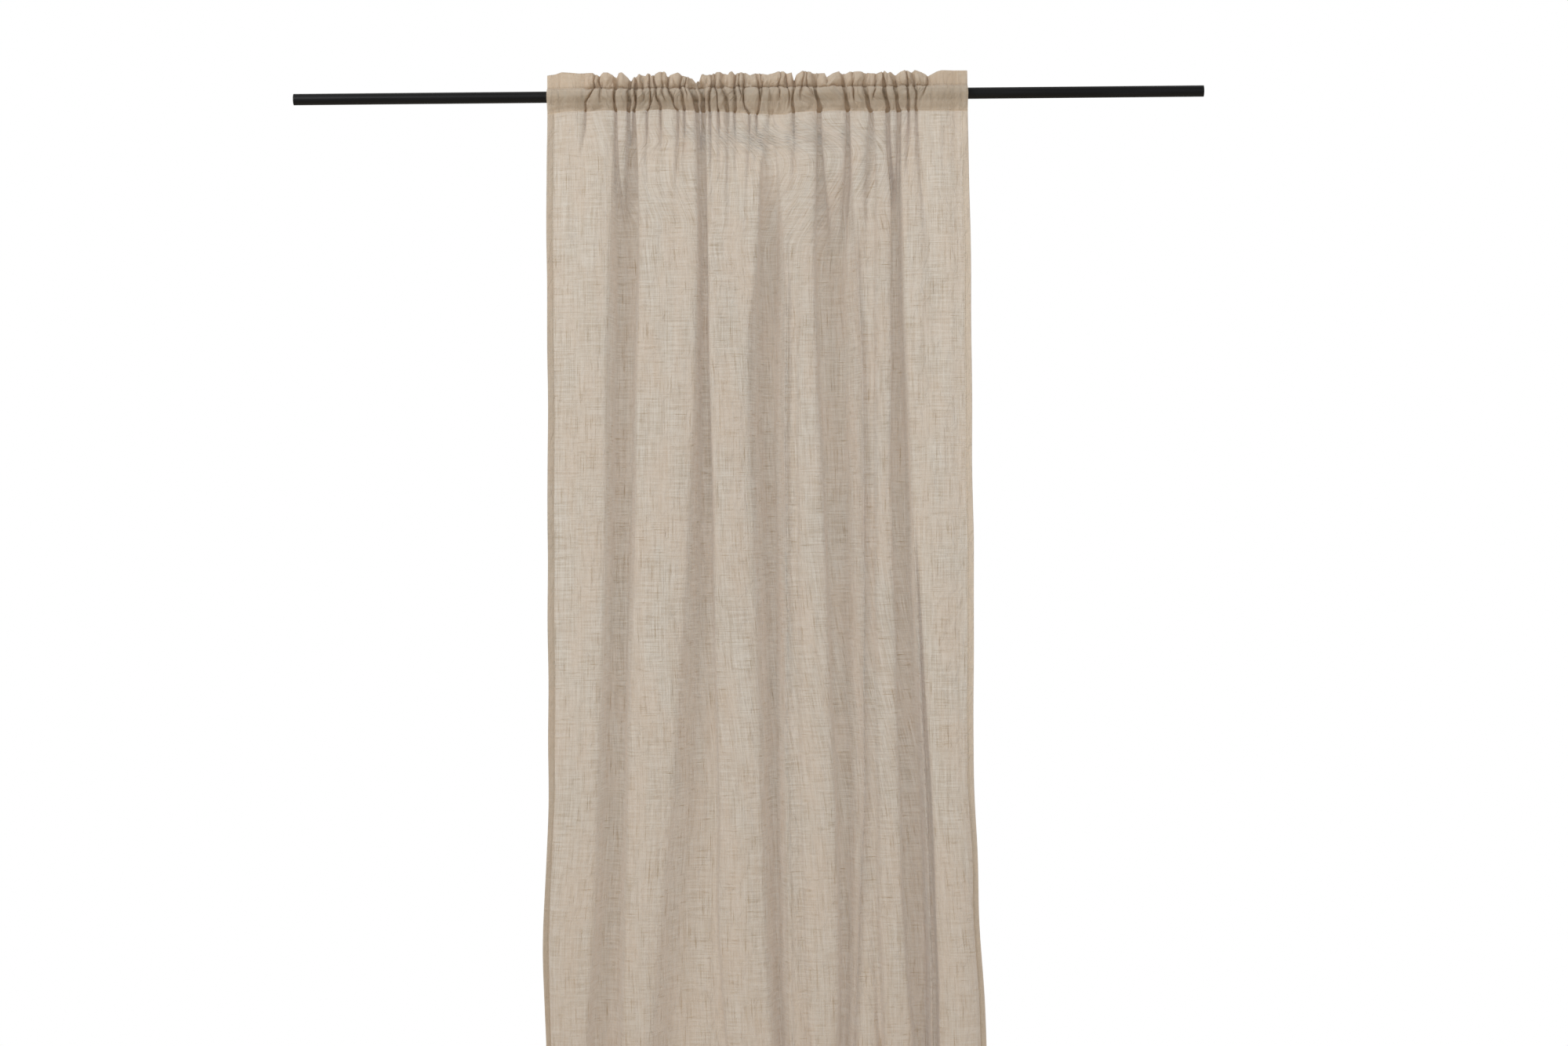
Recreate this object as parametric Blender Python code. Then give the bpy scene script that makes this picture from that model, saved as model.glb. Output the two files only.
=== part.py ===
"""A rod-pocket curtain panel, gathered on a round curtain rod.

The rod lies along X and its axis passes through the origin, at the rod's middle. The panel's
face looks along -Y, and it hangs down along -Z. One width of cloth is folded into a heading
frill, a pocket that the rod runs through, a long gathered drop, two side hems and a bottom hem,
each kept by one seam of two locked threads. All sizes are in metres.
"""

import math

import bmesh
import bpy
from mathutils import Matrix, Vector

# The rod: a steel tube closed at both ends by a plain plug.
ROD_LENGTH = 1.600
ROD_DIAMETER = 0.020
ROD_WALL = 0.0012
ROD_SIDES = 32
PLUG_HEAD = 0.0015
PLUG_SPIGOT = 0.015
PLUG_EASE = 0.0004

# The panel as it was sewn.
PANEL_DROP = 2.400
HEADING_HEIGHT = 0.025
POCKET_DEPTH = 0.055
BOTTOM_HEM = 0.050
SIDE_HEM = 0.012
CLOTH = 0.0006
HEM_LAYERS = 3
THREAD_DIAMETER = 0.0005
SEAM_INSET = 0.0025
LABEL_WIDTH = 0.030
LABEL_HEIGHT = 0.050
LABEL_THICKNESS = 0.0004
LABEL_ABOVE_HEM = 0.150

# The panel as it hangs.
GATHERED_WIDTH = 0.738
PANEL_CENTRE = 0.015
LEFT_FLARE = 0.024
RIGHT_FLARE = 0.032
FLARE_STARTS = -1.100
FLARE_ENDS = -2.300
SEAM_REST = 0.003
POCKET_EASE = 0.0022
FLAT_END = 0.050
FLAT_END_FADE = 0.030

# Small tucks where the rod gathers the cloth, and the large folds that they run into below.
TUCKS = 14
TUCK_DEPTH = 0.006
TUCK_SWAY = 0.012
TUCK_SWAYS = 3.5
FRILL_SPREAD = 1.35
TUCKS_FADE = 0.340
FOLD_DEPTH = 0.041
FOLD_AT_POCKET = 0.12
FOLDS_FORM = 0.420
DEEP_PITCH = 0.060
# Pitch of each fold across the drop, front and back in turn. The end ones show half their pitch.
FOLD_PITCHES = (
    0.180, 0.050, 0.076, 0.062, 0.063, 0.055, 0.066, 0.072, 0.046, 0.040, 0.180,
)

# Mesh steps, and the gaps that keep neighbouring solids apart.
STEPS_PER_TUCK = 6
EDGE_STEP = 0.25
POCKET_ROWS = (1.0, 0.80, 0.32, 0.0)
DROP_ROWS = (0.0, 0.045, 0.110, 0.200, 0.330, 0.520)
LOWER_DROP_ROWS = 4
LABEL_COLUMNS = 4
LABEL_TUCKED_IN = 0.004
NORMAL_STEP = 0.0005
GAP = 0.0006
TOUCH = 0.0003
SMOOTH_ANGLE = math.radians(40)

ROD_RADIUS = ROD_DIAMETER / 2
HEM_THICKNESS = HEM_LAYERS * CLOTH
SEAM_TOP = ROD_RADIUS + SEAM_REST
POCKET_BULGE = ROD_RADIUS + POCKET_EASE + CLOTH / 2
# The pocket cloth goes round the rod for a quarter turn and then slants to the lower seam.
POCKET_SLANT = POCKET_DEPTH - POCKET_BULGE * math.pi / 2
SEAM_LOW = -math.sqrt(POCKET_SLANT**2 - POCKET_BULGE**2)
POCKET_TOP = SEAM_TOP - GAP / 2
# Below the rod the pocket's layers run straight from where they leave it to where they meet.
POCKET_MEETS = SEAM_LOW + 2 * SEAM_INSET
LEAVES_ROD = POCKET_BULGE**2 / POCKET_MEETS
HEADING_TOP = SEAM_TOP + HEADING_HEIGHT
PANEL_BOTTOM = SEAM_LOW - (PANEL_DROP - HEADING_HEIGHT - POCKET_DEPTH)
HEM_TOP = PANEL_BOTTOM + BOTTOM_HEM
RIGHT_END = PANEL_CENTRE + GATHERED_WIDTH / 2
HEM_SHARE = SIDE_HEM / GATHERED_WIDTH
GAP_SHARE = GAP / GATHERED_WIDTH


def smooth_step(start, end, value):
    """0 before start, 1 after end, and a soft S between them."""
    share = min(max((value - start) / (end - start), 0.0), 1.0)
    return share * share * (3 - 2 * share)


def tuck_wave(across):
    """The tucks, from -1 at the front to 1 at the back, and flat near both side edges."""
    from_edge = min(across, 1 - across) * GATHERED_WIDTH
    gathered = smooth_step(FLAT_END, FLAT_END + FLAT_END_FADE, from_edge)
    swayed = across + TUCK_SWAY * math.sin(TUCK_SWAYS * 2 * math.pi * across)
    return gathered * math.cos(2 * math.pi * TUCKS * swayed)


def fold_wave(across):
    """The large folds, from -1 at the front to 1 at the back. Narrow folds are shallower."""
    first_half = FOLD_PITCHES[0] / 2
    shown = sum(FOLD_PITCHES) - first_half - FOLD_PITCHES[-1] / 2
    place = first_half + across * shown
    for index, pitch in enumerate(FOLD_PITCHES):
        if place <= pitch or index == len(FOLD_PITCHES) - 1:
            break
        place -= pitch
    side = 1 if index % 2 else -1
    return side * min(1.0, pitch / DEEP_PITCH) * math.sin(math.pi * place / pitch)


def hang_x(across, z):
    """The place along the rod of a point that lies this share of the way across the panel."""
    flare = smooth_step(FLARE_STARTS, FLARE_ENDS, z)
    left = PANEL_CENTRE - GATHERED_WIDTH / 2 - LEFT_FLARE * flare
    right = RIGHT_END + RIGHT_FLARE * flare
    return left + (right - left) * across


def heading_point(across, z):
    spread = 1 + (FRILL_SPREAD - 1) * (z - SEAM_TOP) / HEADING_HEIGHT
    return Vector((hang_x(across, z), TUCK_DEPTH * spread * tuck_wave(across), z))


def drop_point(across, z):
    """The middle of the cloth anywhere below the rod pocket."""
    below = SEAM_LOW - z
    tucks = TUCK_DEPTH * (1 - smooth_step(0, TUCKS_FADE, below))
    formed = FOLD_AT_POCKET + (1 - FOLD_AT_POCKET) * smooth_step(0, FOLDS_FORM, below)
    depth = tucks * tuck_wave(across) + FOLD_DEPTH * formed * fold_wave(across)
    return Vector((hang_x(across, z), depth, z))


def pocket_opening(z):
    """How far the pocket stands open at this height, from 0 at a seam to 1 beside the rod."""
    if z >= 0:
        return math.sqrt(max(0.0, 1 - (z / POCKET_TOP) ** 2))
    round_rod = math.sqrt(1 - (max(z, LEAVES_ROD) / POCKET_BULGE) ** 2)
    straight = (POCKET_MEETS - z) / (POCKET_MEETS - LEAVES_ROD)
    return round_rod * min(max(straight, 0.0), 1.0)


def seam_point(across, z):
    """Midway between the pocket layers. The folds below have no hold on it beside the rod."""
    folds = FOLD_DEPTH * FOLD_AT_POCKET * fold_wave(across)
    hold = (1 - smooth_step(SEAM_LOW, SEAM_TOP, z)) * (1 - pocket_opening(z))
    return Vector((hang_x(across, z), TUCK_DEPTH * tuck_wave(across) + folds * hold, z))


def outward(surface, across, z):
    """The unit normal of a surface, which points to the back of the panel."""
    along = surface(across + NORMAL_STEP, z) - surface(across - NORMAL_STEP, z)
    up = surface(across, z + NORMAL_STEP) - surface(across, z - NORMAL_STEP)
    return up.cross(along).normalized()


def pocket_layer(side):
    """A surface function for the front (-1) or the back (1) layer of the rod pocket."""

    def surface(across, z):
        apart = side * (CLOTH / 2 + GAP / 2)
        stand = side * (POCKET_BULGE + TUCK_DEPTH) * pocket_opening(z)
        base = seam_point(across, z)
        normal = outward(seam_point, across, z)
        flat = Vector((normal.x, normal.y, 0)).normalized()
        return base + flat * apart + Vector((0, stand, 0))

    return surface


def columns(first, last):
    """The shares across the panel at which the cloth has a column of points."""
    count = TUCKS * STEPS_PER_TUCK
    inner = [i / count for i in range(count + 1)]
    step = EDGE_STEP / count
    return [first] + [c for c in inner if first + step < c < last - step] + [last]


def material(name, colour, roughness, metallic=0.0):
    made = bpy.data.materials.new(name)
    made.use_nodes = True
    shader = made.node_tree.nodes["Principled BSDF"]
    shader.inputs["Base Color"].default_value = (*colour, 1)
    shader.inputs["Roughness"].default_value = roughness
    shader.inputs["Metallic"].default_value = metallic
    made.diffuse_color = (*colour, 1)
    return made


def clear_scene():
    for item in list(bpy.data.objects):
        bpy.data.objects.remove(item, do_unlink=True)


def empty(name, place):
    """A frame on the rod's axis for the pieces of one moving body."""
    frame = bpy.data.objects.new(name, None)
    frame.location = place
    bpy.context.scene.collection.objects.link(frame)
    return frame


def add_piece(name, shape, finish, frame=None):
    """Makes a piece from a bmesh in world coordinates, with its origin at its frame's."""
    origin = frame.location.copy() if frame else Vector()
    bmesh.ops.translate(shape, vec=-origin, verts=shape.verts)
    mesh = bpy.data.meshes.new(name)
    shape.to_mesh(mesh)
    shape.free()
    mesh.materials.append(finish)
    piece = bpy.data.objects.new(name, mesh)
    piece.parent = frame
    bpy.context.scene.collection.objects.link(piece)
    return piece


def add_cloth(name, surface, shares, heights, thickness, finish, frame):
    """A piece of cloth with this thickness, half of it on each side of a surface."""
    shape = bmesh.new()
    grid = [[shape.verts.new(surface(a, z)) for a in shares] for z in heights]
    for upper, lower in zip(grid, grid[1:]):
        for i in range(len(shares) - 1):
            shape.faces.new((upper[i], lower[i], lower[i + 1], upper[i + 1]))
    piece = add_piece(name, shape, finish, frame)
    wall = piece.modifiers.new("thickness", "SOLIDIFY")
    wall.thickness = thickness
    wall.offset = 0
    wall.use_even_offset = True
    wall.use_rim = True
    return piece


def add_thread(name, route, finish, frame):
    """A continuous sewing thread with three sides, along the points of its route."""
    shape = bmesh.new()
    radius = THREAD_DIAMETER / 2
    rings = []
    for i, place in enumerate(route):
        along = (route[min(i + 1, len(route) - 1)] - route[max(i - 1, 0)]).normalized()
        aside = along.cross(Vector((0, 0, 1)))
        if aside.length < 0.5:
            aside = along.cross(Vector((1, 0, 0)))
        aside.normalize()
        third = aside.cross(along)
        turns = [2 * math.pi * k / 3 for k in range(3)]
        points = [place + radius * (math.cos(a) * aside + math.sin(a) * third) for a in turns]
        rings.append([shape.verts.new(p) for p in points])
    for near, far in zip(rings, rings[1:]):
        for k in range(3):
            shape.faces.new((near[k], near[k - 1], far[k - 1], far[k]))
    shape.faces.new(rings[0])
    shape.faces.new(rings[-1][::-1])
    bmesh.ops.recalc_face_normals(shape, faces=shape.faces)
    return add_piece(name, shape, finish, frame)


def add_seam(name, surface, places, half_thickness, finish, frame):
    """The two threads of a lockstitched seam: the needle's in front, the bobbin's behind."""
    stand = half_thickness + TOUCH + THREAD_DIAMETER / 2
    for thread, side in (("needle_thread", -1), ("bobbin_thread", 1)):
        route = [surface(a, z) + side * stand * outward(surface, a, z) for a, z in places]
        add_thread(f"{name}_{thread}", route, finish, frame)


def add_rod(finish):
    """The tube, turned from its wall's section."""
    half = ROD_LENGTH / 2 - PLUG_HEAD - TOUCH
    shape = bmesh.new()
    inner = ROD_RADIUS - ROD_WALL
    section = [(-half, ROD_RADIUS), (-half, inner), (half, inner), (half, ROD_RADIUS)]
    return turn(shape, "rod_tube", section, finish)


def turn(shape, name, section, finish):
    """Spins a closed section of (x, radius) points about the rod's axis."""
    points = [shape.verts.new((x, 0, radius)) for x, radius in section]
    edges = [shape.edges.new((a, b)) for a, b in zip(points, points[1:] + points[:1])]
    bmesh.ops.spin(
        shape, geom=points + edges, cent=(0, 0, 0), axis=(1, 0, 0),
        angle=2 * math.pi, steps=ROD_SIDES, use_merge=True,
    )
    bmesh.ops.remove_doubles(shape, verts=shape.verts, dist=1e-6)
    bmesh.ops.recalc_face_normals(shape, faces=shape.faces)
    piece = add_piece(name, shape, finish)
    piece.data.shade_smooth()
    piece.data.set_sharp_from_angle(angle=SMOOTH_ANGLE)
    return piece


def add_plug(name, side, finish):
    """An end plug: a head as wide as the rod, and a spigot inside the tube."""
    end = side * ROD_LENGTH / 2
    spigot = ROD_RADIUS - ROD_WALL - PLUG_EASE
    shape = bmesh.new()
    bmesh.ops.create_circle(shape, cap_ends=True, radius=ROD_RADIUS, segments=ROD_SIDES)
    head = bmesh.ops.extrude_face_region(shape, geom=shape.faces[:])
    cap = [f for f in head["geom"] if isinstance(f, bmesh.types.BMFace)]
    bmesh.ops.translate(shape, vec=(0, 0, PLUG_HEAD), verts=cap[0].verts[:])
    bmesh.ops.inset_region(shape, faces=cap, thickness=ROD_RADIUS - spigot, use_even_offset=True)
    stem = bmesh.ops.extrude_face_region(shape, geom=cap)
    tip = [f for f in stem["geom"] if isinstance(f, bmesh.types.BMFace)]
    bmesh.ops.translate(shape, vec=(0, 0, PLUG_SPIGOT), verts=tip[0].verts[:])
    bmesh.ops.delete(shape, geom=cap, context="FACES_ONLY")
    inward = Matrix.Rotation(math.radians(-90 * side), 4, "Y")
    bmesh.ops.transform(shape, matrix=inward, verts=shape.verts)
    bmesh.ops.translate(shape, vec=(end, 0, 0), verts=shape.verts)
    bmesh.ops.recalc_face_normals(shape, faces=shape.faces)
    piece = add_piece(name, shape, finish)
    piece.data.shade_smooth()
    piece.data.set_sharp_from_angle(angle=SMOOTH_ANGLE)
    return piece


def drop_heights():
    """Rows of points down the drop, close together where the tucks run out."""
    top = SEAM_LOW - GAP / 2
    upper = [top - below for below in DROP_ROWS]
    bottom = HEM_TOP + GAP / 2
    row = (bottom - upper[-1]) / LOWER_DROP_ROWS
    return upper + [upper[-1] + row * (i + 1) for i in range(LOWER_DROP_ROWS)]


def add_header(cloth, thread, frame):
    """The frill, both layers of the pocket, and the seams above and below the pocket."""
    whole = columns(0, 1)
    frill_rows = (SEAM_TOP + GAP / 2, HEADING_TOP)
    add_cloth("heading_frill", heading_point, whole, frill_rows, 2 * CLOTH, cloth, frame)
    rows = [POCKET_TOP * share for share in POCKET_ROWS]
    rows += [LEAVES_ROD / 2, LEAVES_ROD, POCKET_MEETS, SEAM_LOW + GAP / 2]
    for name, side in (("pocket_front", -1), ("pocket_back", 1)):
        add_cloth(name, pocket_layer(side), whole, rows, CLOTH, cloth, frame)
    upper = [(a, SEAM_TOP + SEAM_INSET) for a in whole]
    lower = [(a, SEAM_LOW + SEAM_INSET) for a in whole]
    add_seam("heading_seam", heading_point, upper, CLOTH, thread, frame)
    add_seam("pocket_seam", seam_point, lower, CLOTH + GAP / 2, thread, frame)


def add_side(name, first, last, seam_at, cloth, thread, frame):
    """One side hem and its seam."""
    rows = drop_heights()
    shares = (first, (first + last) / 2, last)
    add_cloth(name, drop_point, shares, rows, HEM_THICKNESS, cloth, frame)
    places = [(seam_at, z) for z in rows[:-1] + [rows[-1] + GAP]]
    add_seam(name, drop_point, places, HEM_THICKNESS / 2, thread, frame)


def add_drop(cloth, thread, label, panel, leading):
    """The gathered drop with its hems, and the care label behind it."""
    inner = columns(HEM_SHARE + GAP_SHARE, 1 - HEM_SHARE - GAP_SHARE)
    add_cloth("panel_cloth", drop_point, inner, drop_heights(), CLOTH, cloth, panel)
    seam_share = SEAM_INSET / GATHERED_WIDTH
    left_seam = HEM_SHARE - seam_share
    add_side("left_side_hem", 0, HEM_SHARE, left_seam, cloth, thread, panel)
    add_side("right_side_hem", 1 - HEM_SHARE, 1, 1 - left_seam, cloth, thread, leading)
    whole = columns(0, 1)
    hem_rows = (HEM_TOP - GAP / 2, PANEL_BOTTOM)
    add_cloth("bottom_hem", drop_point, whole, hem_rows, HEM_THICKNESS, cloth, panel)
    places = [(a, HEM_TOP - SEAM_INSET) for a in whole]
    add_seam("bottom_hem", drop_point, places, HEM_THICKNESS / 2, thread, panel)
    add_label(label, panel)


def add_label(finish, frame):
    """A blank care label behind the left side hem, held by that hem's seam."""
    stand = HEM_THICKNESS / 2 + TOUCH + THREAD_DIAMETER + TOUCH + LABEL_THICKNESS / 2

    def behind(across, z):
        return drop_point(across, z) + stand * outward(drop_point, across, z)

    first = LABEL_TUCKED_IN / GATHERED_WIDTH
    width = LABEL_WIDTH / GATHERED_WIDTH
    shares = [first + width * i / LABEL_COLUMNS for i in range(LABEL_COLUMNS + 1)]
    low = HEM_TOP + LABEL_ABOVE_HEM
    rows = (low + LABEL_HEIGHT, low)
    add_cloth("care_label", behind, shares, rows, LABEL_THICKNESS, finish, frame)


def main():
    clear_scene()
    black_paint = material("black_paint", (0.012, 0.012, 0.013), 0.35)
    black_plastic = material("black_plastic", (0.015, 0.015, 0.015), 0.55)
    linen = material("linen", (0.52, 0.45, 0.37), 0.9)
    sewing_thread = material("sewing_thread", (0.55, 0.48, 0.40), 0.7)
    satin_tape = material("satin_tape", (0.80, 0.79, 0.76), 0.6)
    panel = empty("panel_frame", (PANEL_CENTRE, 0, 0))
    leading = empty("leading_edge_frame", (RIGHT_END, 0, 0))
    add_rod(black_paint)
    add_plug("rod_end_plug_left", -1, black_plastic)
    add_plug("rod_end_plug_right", 1, black_plastic)
    add_header(linen, sewing_thread, panel)
    add_drop(linen, sewing_thread, satin_tape, panel, leading)


main()
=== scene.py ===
"""Looks for a rod-pocket curtain panel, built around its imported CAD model.

The rod lies along X through the origin and the panel hangs from it along -Z, with its face
towards -Y. Every piece of cloth is cut from one surface: a stack of rows across the panel, each
folded like the real heading or drop and each exactly as long as the flat cloth is wide.
"""

import functools
import math

import bpy
import numpy as np
from bpy.props import FloatProperty, PointerProperty, StringProperty
from mathutils import Matrix, Vector, noise


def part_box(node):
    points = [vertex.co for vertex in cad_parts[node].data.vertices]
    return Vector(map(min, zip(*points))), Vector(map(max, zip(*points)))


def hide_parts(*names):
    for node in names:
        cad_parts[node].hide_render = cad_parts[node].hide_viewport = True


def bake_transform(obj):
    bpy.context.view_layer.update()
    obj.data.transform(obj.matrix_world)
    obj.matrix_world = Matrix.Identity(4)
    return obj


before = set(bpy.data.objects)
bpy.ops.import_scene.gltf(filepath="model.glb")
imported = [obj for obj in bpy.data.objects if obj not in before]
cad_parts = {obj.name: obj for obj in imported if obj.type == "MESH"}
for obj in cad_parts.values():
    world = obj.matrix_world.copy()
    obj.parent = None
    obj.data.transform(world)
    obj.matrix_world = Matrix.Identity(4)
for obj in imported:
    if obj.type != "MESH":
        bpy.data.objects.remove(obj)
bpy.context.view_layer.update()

bl_info = {
    "name": "Rod Pocket Curtain",
    "version": (1, 0, 0),
    "blender": (4, 5, 0),
    "location": "3D View > Sidebar > Curtain",
    "description": "Builds the cloth, seams, rod finish and stage of a rod-pocket curtain panel",
    "category": "Object",
}

MM = 0.001

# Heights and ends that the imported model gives.
SEAM_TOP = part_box("heading_frill")[0].z
FRILL_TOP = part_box("heading_frill")[1].z
SEAM_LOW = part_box("pocket_front")[0].z
HEM_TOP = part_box("bottom_hem")[1].z
PANEL_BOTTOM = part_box("bottom_hem")[0].z
ROD_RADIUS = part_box("rod_tube")[1].z

# Millimetres below the rod's axis at which the folds are set out.
KEYS = (34, 110, 179, 248, 317, 386, 524, 662, 938, 1214, 1489, 1669, 2353)


class Fold:
    """A deep fold: where its two walls stand at each key height, and how deep it is.

    Walls lean by the widths given. An island is a part that stays in front near the rod. After is
    how far back the cloth to the fold's right stands."""

    def __init__(self, left, right, depth, shift=(0, 0), wall=(3, 3), low_wall=None, islands=(),
                 after=None):
        self.left, self.right, self.depth = left, right, depth
        self.shift, self.wall, self.islands = shift, wall, islands
        self.low_wall = low_wall or wall
        self.after = after or (0,) * len(KEYS)


class Tuck:
    """A small tuck that the rod makes, which opens and runs out below the pocket."""

    def __init__(self, x, shift, runs_to, ends, width=5.0, opens=10.0, depth=13.0):
        self.x, self.shift, self.runs_to, self.ends = x, shift, runs_to, ends
        self.width, self.opens, self.depth = width, opens, depth


class Pucker(Tuck):
    """A tuck in the heading alone, which runs out before the seam under the pocket."""

    def __init__(self, x, shift, fades=0.1, width=3.8, depth=8.0):
        super().__init__(x, shift, x, KEYS[0] + 1, width, width, depth)
        self.fades = fades


FULL = (1,) * len(KEYS)
# The panel from left to right. Places are millimetres from the middle of the rod.
GATHERS = (
    Tuck(-287, 17, -296, 150),
    Pucker(-252, -6, 0.3),
    Fold(
        (-236.1, -237.5, -240.3, -242.3, -245, -247.8, -251.8, -254.5, -261.3, -274.9, -285.8, -299.9,
         -314.7),
        (-198.9, -195.5, -193.4, -192.7, -193.3, -195.3, -199.4, -201.4, -210.2, -221.1, -230.7, -236.5,
         -245.7),
        FULL, shift=(0, 5), wall=(14, 9), low_wall=(10, 14),
        islands=((-231.5, -213.5, -223, -219, 330), (-208.5, -203.5, -210, -208, 120)),
    ),
    Pucker(-189, 3, 0.35),
    Tuck(-179, 5, -176, 180),
    Tuck(-155, -8, -146, 190, depth=12),
    Pucker(-138, -13, 0.15),
    Tuck(-124, -18, -132, 330, width=6, opens=16),
    Tuck(-113, -8, -112, 200),
    Pucker(-105, -8, 0.4, width=3),
    Fold(
        (-94.1, -92.1, -91.3, -90.6, -92.6, -94.7, -97.4, -105.6, -122, -143.9, -171.4, -189.6, -204.4),
        (-76, -74.8, -74.4, -74.1, -74, -74, -72.5, -68.3, -65.4, -62.6, -65.2, -51.7, -44.4),
        FULL, shift=(-13, 1.4), wall=(9, 3), low_wall=(36, 5),
        islands=((-87, -83, -85, -83.5, 150),),
    ),
    Tuck(-67.6, 3, -62, 240),
    Tuck(-53, -7, -49, 170),
    Tuck(-37, -10, -34, 330, width=8, opens=12),
    Tuck(-25, 0, -20, 220),
    Pucker(-13, -4, 0.3),
    Tuck(1.4, -9, -8, 300),
    Tuck(13.8, 4, 8, 190),
    Pucker(25, -2, 0.45),
    Fold(
        (34.1, 23.8, 13.5, 3.2, -1.6, -3.7, -5, -2.2, 6.3, 10.5, 14.8, 26.9, 30.1),
        (43.8, 48.6, 53.5, 58.3, 60.4, 59.8, 58.5, 55.8, 54.5, 51.9, 54.8, 55.9, 63.1),
        (0.3, 0.4, 0.6, 0.8, 0.95, 1, 1, 1, 1, 1, 1, 1, 1), wall=(26, 16),
        after=(0, 0.02, 0.05, 0.08, 0.12, 0.14, 0.15, 0.15, 0.15, 0.15, 0.15, 0.15, 0.12),
    ),
    Pucker(54, -3, 0.4),
    Pucker(67, 1, 0.1, width=3),
    Fold(
        (75.5, 75.5, 75.5, 75, 74.5, 74, 72, 70.6, 68.7, 70.2, 74.5, 82.5, 92),
        (81.5, 82.5, 83.3, 84, 84.6, 84.3, 83, 81.6, 79.7, 81.2, 85.5, 93.5, 104),
        (0.6, 0.2, 0.06, 0.04, 0.08, 0.14, 0.17, 0.18, 0.2, 0.22, 0.24, 0.26, 0.22),
        shift=(2, 2), wall=(4, 3),
    ),
    Pucker(99, -5, 0.25),
    Pucker(109, -7, 0.45),
    Fold(
        (119.6, 117.5, 115.5, 113.5, 112.8, 113.5, 116.4, 122, 130.4, 138.8, 144.4, 138.6, 137.6),
        (177.6, 179.6, 181.7, 185.2, 187.3, 189.4, 192.2, 193.7, 192.4, 189.8, 177.5, 164.8, 168),
        FULL, shift=(-8, -8), wall=(6, 30),
        islands=((128, 171, 147, 153, 400),),
        after=(0, 0, 0.04, 0.10, 0.16, 0.2, 0.22, 0.22, 0.24, 0.26, 0.3, 0.3, 0.2),
    ),
    Pucker(192, -10, 0.2),
    Fold(
        (211, 206, 202.5, 200.1, 199.5, 198.8, 196.8, 194.8, 194.3, 197.5, 201.7, 209.7, 211.5),
        (219, 222, 223, 222, 222, 221.4, 220, 218.7, 216.1, 216.6, 218.1, 223.7, 231),
        (0.8, 0.4, 0.22, 0.16, 0.18, 0.2, 0.23, 0.24, 0.26, 0.3, 0.4, 0.5, 0.42),
        shift=(-12, -12), wall=(5, 6),
    ),
    Pucker(230, -8, 0.35),
    Fold(
        (239.6, 241.7, 247.9, 247.2, 246.6, 245.9, 244.6, 243.3, 247.6, 251.9, 258.9, 273.7, 272.8),
        (268.6, 266.5, 267.2, 267.9, 269.3, 270.8, 276.3, 280.5, 284.8, 296, 304.4, 305.5, 305.9),
        FULL, shift=(-5, -6), wall=(3, 8),
        islands=((247.5, 260, 255, 258, 300),),
    ),
    Fold(
        (270, 268.5, 269.2, 269.9, 271.3, 272.8, 278.3, 282.5, 288, 299, 306, 308, 309),
        (274, 272.5, 273.2, 273.9, 275.3, 276.8, 282.3, 286.5, 294, 309, 317, 320, 322),
        (0, 0, 0, 0, 0, 0, 0, 0, 0.3, 0.9, 1.15, 1.15, 1), shift=(-5, -5), wall=(3, 3),
    ),
    Tuck(281, -2.4, 277, 200),
    Tuck(294.5, -3.7, 322, 400, width=6, opens=22),
    Pucker(305, 9, 0.5),
)
# The frill's top edge: place along the rod and height above the rod's axis, in millimetres.
FRILL_LINE = (
    (-353, 37), (-339, 38.9), (-328, 42.7), (-298, 39.5), (-273, 40.8), (-262, 35), (-255, 41.3),
    (-247, 41.2), (-232, 33.3), (-229, 40.5), (-222, 41.4), (-207, 27.3), (-201, 33.4), (-192, 38.7),
    (-181, 34.4), (-177, 39.3), (-174, 39.5), (-170, 34.3), (-157, 41), (-148, 42), (-145, 39.6),
    (-143, 33.9), (-124, 40.6), (-113, 33.9), (-99, 31.4), (-92, 22.4), (-87, 24.9), (-83, 37.4),
    (-80, 38.9), (-73, 34.4), (-55, 40), (-48, 40.1), (-36, 34.6), (-33, 39.1), (-29, 40.9),
    (-25, 37.1), (-14, 40.5), (-7, 40.5), (3, 34.4), (15, 38.9), (34, 35), (52, 40.4), (62, 40.2),
    (68, 36), (76, 38.4), (80, 24), (84, 34.5), (95, 41.5), (121, 37.3), (134, 37.5), (137.5, 29.8),
    (148, 36.5), (159, 40.5), (170, 35.1), (178, 39.4), (196, 39.7), (214, 36.1), (228, 36),
    (239, 39.7), (244, 35.2), (251, 39.4), (259, 31.7), (266, 37.2), (276, 41.2), (285, 36.7),
    (292, 41.1), (305, 36), (316, 30.1), (331, 37.4), (339, 39.4), (379, 39.1),
)
# Where the frill pinches in between its puffs.
FRILL_DIPS = (
    -360, -287, -262, -232, -207, -182, -170, -142.5, -113, -91, -73, -36, -24, 3, 34.5, 67.5,
    80, 121, 138, 170, 214, 227, 244, 259.5, 285.5, 316, 390,
)
# How far the seam under the pocket rises above its mean height along the rod, both in millimetres.
SEAM_RISE = (
    (-356, 0), (-322, 5), (-295, 6), (-235, 7), (-222, 5.5), (-192, 5.5), (-146, 8), (-92, 4.5),
    (-38, 3.5), (6, -2), (66, -3.4), (74, 0.6), (121, 1.8), (173, 2.6), (214, 1), (292, 2), (322, 0),
    (384, 0),
)
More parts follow.
